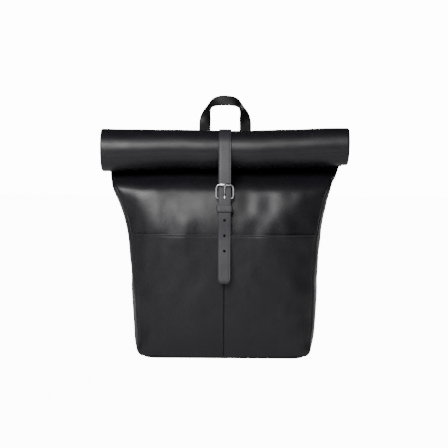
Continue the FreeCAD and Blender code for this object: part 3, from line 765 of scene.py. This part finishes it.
LAST_JOINT = Vector((0, *strap_joints[7]))
tail = (Vector((0, *TIP)) - LAST_JOINT).normalized()
hole_axis = tail.cross(Vector((1, 0, 0)))
HOLES = [LAST_JOINT + tail * distance for distance in (14, 42, 70)]
strap_bodies = ["root"] + [f"strap_{k:02d}" for k in range(1, 9)]
for k in range(9):
    line, places = between_cuts(strap_path, strap_cuts[k], strap_cuts[k + 1], 4)
    shape = lofted([(0, y, z) for y, z in line], [(1, 0, 0)] * len(line),
                   [strap_outline(place) for place in places])
    nodes = ["closing_strap_anchor"] if k == 0 else [f"closing_strap_{k:02d}"]
    made = piece(f"closing_strap_leather_{k + 1:02d}", shape, strap_leather,
                 None, nodes)
    if k in (6, 7):
        slot = block((-1.8, -12, -2.2), (1.8, 12, 17.5))
        rounded(slot, [e for e in slot.edges
                       if abs(e.verts[0].co.y - e.verts[1].co.y) > 1], 1.7, 4)
        bmesh.ops.rotate(slot, matrix=Matrix.Rotation(-BUCKLE_TILT, 3, "X"), verts=slot.verts)
        bmesh.ops.translate(slot, vec=at_buckle(0, STRAP_RISE), verts=slot.verts)
        carved(made, [slot])
    if k >= 7:
        carved(made, [rod(h - hole_axis * 9, h + hole_axis * 9, 2.5) for h in HOLES])
    if k == 8:
        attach(made, strap_bodies[8])
        continue
    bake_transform(made)

# ---------------------------------------------------------------- buckle, chape and keeper
# A cast nickel roller buckle with clipped corners, held by a fold of leather that is sewn to
# the front panel, and a leather loop below it that holds the strap's tail.

brushing, given, out = effect("brushing", {"Vector": None, "Lines": 600.0}, ("Height", "Haze"))
lines = put(brushing, "ShaderNodeTexNoise", {
    "Vector": put(brushing, "ShaderNodeMapping", {
        "Vector": given["Vector"], "Scale": (0.08, 1, 1)}).outputs[0],
    "Scale": given["Lines"], "Detail": 4.0}).outputs[0]
brushing.links.new(lines, out.inputs["Height"])
brushing.links.new(put(brushing, "ShaderNodeTexNoise", {
    "Vector": given["Vector"], "Scale": 120.0, "Detail": 6.0}).outputs[0], out.inputs["Haze"])


def nickel(name, dark, light, rough, lines, depth):
    material, tree, shader = new_material(name)
    brushed = put(tree, "ShaderNodeGroup", node_tree=brushing)
    tree.links.new(object_place(tree), brushed.inputs["Vector"])
    brushed.inputs["Lines"].default_value = lines
    tree.links.new(shade(tree, brushed.outputs["Haze"], dark, light, 0.3, 0.6),
                   shader.inputs["Base Color"])
    tree.links.new(put(tree, "ShaderNodeMapRange", {
        "Value": brushed.outputs["Haze"], "To Min": rough + 0.1, "To Max": rough - 0.06}
    ).outputs[0], shader.inputs["Roughness"])
    tree.links.new(put(tree, "ShaderNodeBump", {
        "Height": brushed.outputs["Height"], "Distance": depth * MM}).outputs[0],
        shader.inputs["Normal"])
    shader.inputs["Metallic"].default_value = 1.0
    return material


polished_nickel = nickel("polished_nickel", (0.50, 0.50, 0.52), (0.78, 0.78, 0.80),
                         rough=0.24, lines=900.0, depth=0.02)


def circle(radius, steps=16):
    return [(radius * math.cos(2 * math.pi * i / steps), radius * math.sin(2 * math.pi * i / steps))
            for i in range(steps)]


def eased_loop(corners, count, rounds):
    """A closed line of count points through the corners of a loop, with its bends eased."""
    line = evenly(corners + corners[:1], count + 1)[:-1]
    for _ in range(rounds):
        line = [tuple((a + 2 * b + c) / 4 for a, b, c in zip(line[i - 1], line[i],
                                                            line[(i + 1) % count]))
                for i in range(count)]
    return line


def hoop(corners, radius, count, rounds, flat=1.0):
    """A closed bar of round section that follows a loop."""
    line = eased_loop(corners, count, rounds)
    middle = Vector([sum(axis) / count for axis in zip(*line)])
    wides = []
    for i, point in enumerate(line):
        heading = Vector(line[(i + 1) % count]) - Vector(line[i - 1])
        from_middle = Vector(point) - middle
        wides.append(from_middle - from_middle.project(heading))
    outline = [(a, b * flat) for a, b in circle(radius)]
    return lofted(line, wides, [outline] * count, closed=True)


frame_corners = [tuple(at_buckle(up, out, x)) for x, up, out in (
    (-11.0, 0, 0), (11.0, 0, 0), (15.2, 2.4, 0.6), (15.6, 6.5, 2.2), (15.6, 18, 6.8),
    (14.6, 21.6, 8.3), (11.2, 24, 9.2), (-11.2, 24, 9.2), (-14.6, 21.6, 8.3),
    (-15.6, 18, 6.8), (-15.6, 6.5, 2.2), (-15.2, 2.4, 0.6))]
piece("buckle_hoop", hoop(frame_corners, 1.55, 144, 3), polished_nickel,
      "buckle_frame", ["buckle_frame"])

ROLLER_HALF = 9.5
roller = bmesh.new()
profile = [(1.75, -ROLLER_HALF), (2.7, -ROLLER_HALF), (3.0, -ROLLER_HALF + 0.4),
           (3.0, ROLLER_HALF - 0.4), (2.7, ROLLER_HALF), (1.75, ROLLER_HALF)]
toe = at_buckle(24, 9.2)
verts = [roller.verts.new(Vector((x, toe.y + r, toe.z))) for r, x in profile]
edges = [roller.edges.new(pair) for pair in zip(verts, verts[1:] + verts[:1])]
bmesh.ops.spin(roller, geom=verts + edges, cent=toe, axis=(1, 0, 0), dvec=(0, 0, 0),
               angle=2 * math.pi, steps=32, use_merge=True)
bmesh.ops.remove_doubles(roller, verts=roller.verts, dist=0.001)
bmesh.ops.recalc_face_normals(roller, faces=roller.faces)
piece("buckle_roller_tube", roller, polished_nickel, "buckle_roller",
      ["buckle_roller"])


def joined(shape, other):
    """Add another shape to a shape, as a part of the same casting."""
    mesh = bpy.data.meshes.new("joined")
    other.to_mesh(mesh)
    other.free()
    shape.from_mesh(mesh)
    bpy.data.meshes.remove(mesh)
    return shape


prong_line = eased(evenly([(0, 2.7), (5, 2.3), (9, 3.2), (13, 6.2), (17, 10.2), (21, 12.9),
                           (26.4, 13.4)], 40), 3)
prong_sections = [[(a * w, b) for a, b in circle(1.35, 14)] for w in
                  [min(1, 0.45 + (39 - i) / 6) * (1.15 if i < 6 else 1.0) for i in range(40)]]
prong = lofted([tuple(at_buckle(up, out)) for up, out in prong_line], [(1, 0, 0)] * 40,
               prong_sections)
eye = [tuple(at_buckle(2.75 * math.cos(a), 2.75 * math.sin(a)))
       for a in [2 * math.pi * i / 20 for i in range(20)]]
joined(prong, hoop(eye, 1.05, 40, 1, flat=1.9))
piece("buckle_prong_bar", prong, polished_nickel, "buckle_prong",
      ["buckle_prong"])

chape_turn = [tuple(at_buckle(3.05 * math.cos(a), 3.05 * math.sin(a)))[1:]
              for a in [math.pi * i / 12 for i in range(7, -8, -1)]]
chape_line = [(-59.6, 249), (-61.2, 262), (-60.6, 278)] + chape_turn + [(-53.4, 283), (-56.4, 270)]
chape_path = eased(evenly([(0, y, z) for y, z in chape_line], 90), 5)
made = piece("buckle_chape_leather",
             lofted(chape_path, [(1, 0, 0)] * 90, [band(STRAP_WIDTH, 1.7, crease=0.12)] * 90),
             strap_leather, "root", ["buckle_chape"])
gap = block((-3, -12, -4.6), (3, 12, 4.6))
bmesh.ops.translate(gap, vec=at_buckle(0, 0), verts=gap.verts)
carved(made, [gap])

KEEPER_LOW, KEEPER_HIGH = -26, -14
keeper_corners = [tuple(at_buckle((KEEPER_LOW + KEEPER_HIGH) / 2, out, x)) for x, out in (
    (-12, 1.9), (12, 1.9), (13.6, 2.6), (14.0, 5.1), (13.6, 7.8), (12, 8.4), (-12, 8.4),
    (-13.6, 7.8), (-14.0, 5.1), (-13.6, 2.6))]
line = eased_loop(keeper_corners, 120, 6)
keeper_wide = at_buckle(1, 0) - at_buckle(0, 0)
piece("strap_keeper_loop",
      lofted(line, [keeper_wide] * 120, [band(12, 1.7, steps=16, crease=0.18, inset=1.6)] * 120,
             closed=True), strap_leather, "root", ["strap_keeper"])

# ---------------------------------------------------------------- carry handle
# A strip of leather standing behind the roll, made darker and duller than the strap leather as
# painted shade for the shadow it stands in. Its legs lie flat against the back, it is pinched as it
# turns the corners, and its top leans back a little to fit the hand.

# Painted shade: a darker, less shiny copy of the strap leather, standing in for the shadow over the
# handle, most of all over its legs.
handle_leather_painted_shade = leather("handle_leather_painted_shade", (0.002, 0.0019, 0.0025), (0.005, 0.0047, 0.006),
                         rough=0.52, pebbles=900.0, depth=0.10, creases=0.4, rub=0.8, shine=0.3)
HANDLE_Y, HANDLE_FOOT, HANDLE_WIDTH = 58, 342, 22
# Half of the bow: across, up, and the angle in radians that the strip is turned by.
half_bow = [(38.6, HANDLE_FOOT, 0), (38.6, 400, 0), (38.6, 433, 0), (36.4, 450, 0.72),
            (30.0, 464.4, 1.3), (20, 472.6, 0.62), (10, 474.9, 0.36), (0, 475.4, 0.3)]
bow = half_bow + [(-x, z, turn) for x, z, turn in half_bow[-2::-1]]
bow_stations = eased(evenly([(x, HANDLE_Y, z, turn) for x, z, turn in bow], 141), 5)
bow_path = [station[:3] for station in bow_stations]
handle_wides = []
for i, (x, y, z, turn) in enumerate(bow_stations):
    heading = Vector(bow_path[min(i + 1, 140)]) - Vector(bow_path[max(i - 1, 0)])
    flat = heading.cross(Vector((0, 1, 0))).normalized()
    handle_wides.append(flat * math.cos(turn) - Vector((0, 1, 0)) * math.sin(turn))
handle_outline = band(HANDLE_WIDTH, 3.6, steps=28, crease=0.3, inset=2.6)
top_outline = band(20, 3.8, steps=28, crease=0.3, inset=2.6)
handle_outlines = [
    [tuple(a + (b - a) * step(z, 440, 470) for a, b in zip(p, q))
     for p, q in zip(handle_outline, top_outline)] for x, y, z in bow_path]
piece("carry_handle_leather", lofted(bow_path, handle_wides, handle_outlines),
      handle_leather_painted_shade, "carry_handle", ["carry_handle"])

patch_path = eased(evenly([(0, 71.4, 304), (0, 66, 322), (0, 61.4, 334)], 24), 3)
piece("handle_patch_leather", lofted(patch_path, [(1, 0, 0)] * 24,
                                     [band(114, 2.4, steps=40, crease=0.3)] * 24),
      strap_leather, "root", ["handle_patch"])

# ---------------------------------------------------------------- back pad and yoke
# Foam under soft leather, quilted in upright channels, sewn to the back panel round its
# border. Above it a patch doubles the leather where the shoulder straps are held.

pad_leather = leather("pad_leather", (0.013, 0.013, 0.014), (0.026, 0.026, 0.028),
                      rough=0.55, pebbles=620.0, depth=0.16, creases=0.6, rub=0.35)

PAD_HALF, PAD_LOW, PAD_HIGH, PAD_CHANNELS = 115, 32, 258, 5


def pad_height(x, z):
    """How far the pad stands off the back panel."""
    inside = min(PAD_HALF - abs(x), z - PAD_LOW, PAD_HIGH - z)
    puff = 1.6 + 6.6 * step(inside, 4.5, 16)
    puff -= groove(inside, 4.5, 1.3, 1.0)
    place = (x + PAD_HALF - 5) / (2 * PAD_HALF - 10) * PAD_CHANNELS
    crest = abs(math.sin(math.pi * place)) ** 0.45
    return puff * (1 - (0.62 - 0.62 * crest) * step(inside, 4, 9))


def pad_skin(u, v):
    x, z = PAD_HALF * (2 * u - 1), PAD_LOW + (PAD_HIGH - PAD_LOW) * v
    corner = 14
    over_x, over_z = max(abs(x) - PAD_HALF + corner, 0), abs(z - 145) - 113 + corner
    if over_z > 0 and over_x > 0:
        far = math.hypot(over_x, over_z)
        keep = min(1, max(over_x, over_z) / far)
        x -= math.copysign(over_x * (1 - keep), x)
        z -= math.copysign(over_z * (1 - keep), z - 145)
    return Vector((x, 70.4 + pad_height(x, z), z))


def swollen(made, held, cap):
    """Let the leather of a pad swell over its foam between its seams, by cloth simulation.
    held(point in mm) is true where it is sewn down; no point moves more than cap, in mm."""
    sewn = made.vertex_groups.new(name="sewn")
    sewn.add([v.index for v in made.data.vertices if held(v.co / MM)], 1.0, "REPLACE")
    swelling = made.modifiers.new("swelling", "CLOTH")
    swelling.settings.vertex_group_mass = "sewn"
    swelling.settings.use_pressure, swelling.settings.uniform_pressure_force = True, 4.0
    swelling.settings.shrink_min = -0.03
    swelling.settings.effector_weights.gravity = 0
    for moment in range(1, 21):
        scene.frame_set(moment)
    swelled = made.evaluated_get(bpy.context.evaluated_depsgraph_get()).data.vertices
    moves = [after.co - before.co for after, before in zip(swelled, made.data.vertices)]
    made.modifiers.remove(swelling)
    made.vertex_groups.remove(sewn)
    scene.frame_set(1)
    for vert, move in zip(made.data.vertices, moves):
        vert.co += move * min(1, cap * MM / max(move.length, 1e-9))
    made.data.update()
    return made


def pad_sewn(point):
    """True at the back pad's border, along its channels and on its back."""
    inside = min(PAD_HALF - abs(point.x), point.z - PAD_LOW, PAD_HIGH - point.z)
    place = (point.x + PAD_HALF - 5) / (2 * PAD_HALF - 10) * PAD_CHANNELS
    return inside < 6 or point.y < 71 or abs(place - round(place)) < 0.045


back_pad = draped(116, 90, pad_skin, Vector((0, 1, 0)))
rim = [e for e in back_pad.edges if e.is_boundary]
skirt = bmesh.ops.extrude_edge_only(back_pad, edges=rim)["geom"]
for vert in skirt:
    if isinstance(vert, bmesh.types.BMVert):
        vert.co.y = 70.3
bmesh.ops.holes_fill(back_pad, edges=[e for e in back_pad.edges if e.is_boundary], sides=0)
bmesh.ops.recalc_face_normals(back_pad, faces=back_pad.faces)
cushion = piece("back_pad_cushion", back_pad, pad_leather, "root", ["back_pad"])
swollen(cushion, pad_sewn, 2.2)

yoke = block((-75, 70.2, 261), (75, 72.4, 299))
rounded(yoke, [e for e in yoke.edges if abs(e.verts[0].co.y - e.verts[1].co.y) > 1], 8, 6)
rounded(yoke, [e for e in yoke.edges if all(v.co.y > 72 for v in e.verts)], 0.8, 3)
piece("yoke_patch_leather", yoke, panel_leather, "root", ["yoke_patch"])

back_thread = bmesh.new()
edge, low, high = PAD_HALF - 2.2, PAD_LOW + 2.2, PAD_HIGH - 2.2
border = [(-edge, low), (edge, low), (edge, high), (-edge, high), (-edge, low)]
sew(back_thread, [(x, 72.3, z) for x, z in border], (0, 1, 0), pitch=4.2)
for half, y, z, rise in ((72.5, 72.5, 263, 0), (72.5, 72.5, 297, 0), (54, 72.2, 307, 0.4),
                         (54, 63.9, 331, 0.4)):
    sew(back_thread, [(-half, y, z), (half, y, z)], (0, 1, rise))
piece("back_thread", back_thread, waxed_thread, "root")

# ---------------------------------------------------------------- shoulder straps
# Leather over foam, broad at the shoulder and drawn in to a plain strap at each end. The lower
# strap runs through a slider to a tab at the bottom of the bag, which sets its length.

PAD_STATIONS = [((45, 84, 284), 22, 4), ((53, 103, 266), 34, 7), ((64, 120, 236), 54, 11),
                ((82, 127, 190), 54, 11), ((93, 122, 150), 40, 11), ((98, 118, 128), 26, 6)]
PAD_END, STRAP_FOOT, SLIDER_SHARE = (98, 118, 128), (124, 86, 30), 0.62


def padded_outline(width, thickness, quilt):
    """Section of a padded strap: a thin sewn border and a crowned middle."""
    half, steps = width / 2, 32
    face = []
    for i in range(steps + 1):
        a = -half * math.cos(math.pi * i / steps)
        inside = half - abs(a)
        edge = min(1.3, math.sqrt(max(2.6 * inside - inside ** 2, 0)) if inside < 1.3 else 1.3)
        puff = (thickness / 2 - 1.3) * step(inside, 3.6, 12) * quilt
        face.append((a, max(edge + puff - groove(inside, 3.6, 0.8, 0.35), 0)))
    return face + [(a, -b * 0.85) for a, b in face[-2:0:-1]]


satin_nickel = nickel("satin_nickel", (0.30, 0.30, 0.31), (0.52, 0.52, 0.53),
                      rough=0.34, lines=700.0, depth=0.03)
PAD_SEAMS = (34, 56, 78)
STATION_VALUES = eased(evenly([(*p, w, t) for p, w, t in PAD_STATIONS], 111), 10)
for label, side in (("right", 1), ("left", -1)):
    body = f"shoulder_strap_{label}"
    line = [(side * x, y, z) for x, y, z, w, t in STATION_VALUES]
    wides = []
    for i in range(len(line)):
        heading = Vector(line[min(i + 1, 110)]) - Vector(line[max(i - 1, 0)])
        wides.append(heading.cross(Vector((0, 1, 0))))
    outlines = [padded_outline(w, t, 1 - 0.55 * sum(
        math.exp(-((i - seam) / 1.3) ** 2) for seam in PAD_SEAMS))
        for i, (x, y, z, w, t) in enumerate(STATION_VALUES)]

    def strap_sewn(point):
        """True at the border, the ends and the cross seams of this shoulder strap."""
        at = nearest(line, point)
        across = abs((point - Vector(line[at])).dot(wides[at].normalized()))
        return (STATION_VALUES[at][3] / 2 - across < 5 or at < 6 or at > 104
                or min(abs(at - seam) for seam in PAD_SEAMS) < 2)

    cushion = piece(f"shoulder_pad_cushion_{label}", lofted(line, wides, outlines), pad_leather,
                    body, [f"shoulder_pad_{label}"])
    swollen(cushion, strap_sewn, 1.5)

    start, foot = Vector(PAD_END), Vector(STRAP_FOOT)
    start.x, foot.x = side * start.x, side * foot.x
    run = [tuple(start.lerp(foot, share)) for share in [-0.04] + [i / 50 for i in range(51)]]
    heading = foot - start
    wide = heading.cross(Vector((0, 1, 0))).normalized()
    out = crossed(heading, wide)
    piece(f"lower_strap_leather_{label}",
          lofted(run, [wide] * 52, [band(22, 2.2, crease=0.25)] * 52), strap_leather,
          body, [f"lower_strap_{label}"])

    middle = start.lerp(foot, SLIDER_SHARE)
    down = heading.normalized()
    corners = [tuple(middle + wide * a * 13.4 + down * b * 9.4) for a, b in (
        (-0.75, -1), (0.75, -1), (1, -0.7), (1, 0.7), (0.75, 1), (-0.75, 1), (-1, 0.7), (-1, -0.7))]
    slider = hoop(corners, 1.6, 96, 2, flat=1.5)
    bar = rod(middle - wide * 13 + out * 2.2, middle + wide * 13 + out * 2.2, 1.5, sides=16)
    piece(f"strap_slider_ring_{label}", joined(slider, bar), satin_nickel,
          f"strap_slider_{label}", [f"strap_slider_{label}"])

    anchor = block((side * 45 - 15, 72.5, 291), (side * 45 + 15, 85.8, 299))
    rounded(anchor, list(anchor.edges), 1.6, 3)
    piece(f"shoulder_anchor_leather_{label}", anchor, strap_leather, "root",
          [f"shoulder_anchor_{label}"])
    tab = block((side * 124 - 13, 69, 21.5), (side * 124 + 13, 89, 26.5))
    rounded(tab, [e for e in tab.edges if abs(e.verts[0].co.z - e.verts[1].co.z) > 1
                  and e.verts[0].co.y > 80], 6, 5)
    rounded(tab, [e for e in tab.edges if abs(e.verts[0].co.z - e.verts[1].co.z) < 0.1
                  and e.verts[0].co.y > 70], 1.2, 3)
    piece(f"bottom_tab_leather_{label}", tab, strap_leather, "root",
          [f"bottom_tab_{label}"])

# ---------------------------------------------------------------- floor, light and camera
# A pale floor and a white surround, a broad soft light above and in front, and a camera that
# looks almost straight at the front.

floor_paint, tree, shader = new_material("floor_paint")
shader.inputs["Base Color"].default_value = (0.9, 0.9, 0.9, 1)
shader.inputs["Roughness"].default_value = 0.9
glow = put(tree, "ShaderNodeEmission", {"Color": (1, 1, 1, 1), "Strength": 14.0})
to_camera = put(tree, "ShaderNodeLightPath").outputs["Is Camera Ray"]
mixed = put(tree, "ShaderNodeMixShader", {
    0: math_of(tree, "MULTIPLY", to_camera, 0.9), 1: shader.outputs[0], 2: glow.outputs[0]})
tree.links.new(mixed.outputs[0], tree.nodes["Material Output"].inputs["Surface"])
ground = bmesh.new()
bmesh.ops.create_grid(ground, x_segments=1, y_segments=1, size=6)
bmesh.ops.translate(ground, vec=(0, 0, -0.0005), verts=ground.verts)
floor_mesh = bpy.data.meshes.new("floor")
ground.to_mesh(floor_mesh)
ground.free()
floor_mesh.materials.append(floor_paint)
floor = bpy.data.objects.new("floor", floor_mesh)
scene.collection.objects.link(floor)

world = bpy.data.worlds.new("studio")
world.use_nodes = True
scene.world = world
tree = world.node_tree
backdrop = tree.nodes["Background"]
backdrop.inputs["Color"].default_value = (0.55, 0.57, 0.6, 1)
backdrop.inputs["Strength"].default_value = 0.05
white = put(tree, "ShaderNodeBackground", {"Color": (1, 1, 1, 1), "Strength": 14.0})
seen = put(tree, "ShaderNodeMixShader", {
    0: put(tree, "ShaderNodeLightPath").outputs["Is Camera Ray"], 1: backdrop.outputs[0],
    2: white.outputs[0]})
tree.links.new(seen.outputs[0], tree.nodes["World Output"].inputs["Surface"])


def softbox(name, place, target, width, height, watts):
    light = bpy.data.lights.new(name, "AREA")
    light.shape, light.size, light.size_y, light.energy = "RECTANGLE", width, height, watts
    made = bpy.data.objects.new(name, light)
    made.location = place
    made.rotation_euler = (Vector(target) - Vector(place)).to_track_quat("-Z", "Y").to_euler()
    scene.collection.objects.link(made)


softbox("key_light", (-0.7, -1.85, 1.6), (0, 0, 0.3), 1.5, 1.2, 66)
softbox("rear_light", (0.6, 2.0, 0.8), (0, 0, 0.26), 1.5, 0.8, 34)

CAMERA_DISTANCE, CAMERA_RISE, CAMERA_LEAN = 2.6, math.radians(4), math.radians(0.4)
aim = Vector((-0.0009, -0.03, 0.246))
camera_data = bpy.data.cameras.new("camera")
camera_data.lens, camera_data.sensor_width = 113, 36
camera = bpy.data.objects.new("camera", camera_data)
away = Vector((0, -math.cos(CAMERA_RISE), math.sin(CAMERA_RISE)))
camera.location = aim + away * CAMERA_DISTANCE
camera.rotation_mode = "QUATERNION"
camera.rotation_quaternion = ((-away).to_track_quat("-Z", "Y")
                              @ Matrix.Rotation(CAMERA_LEAN, 4, "Z").to_quaternion())
scene.collection.objects.link(camera)
scene.camera = camera
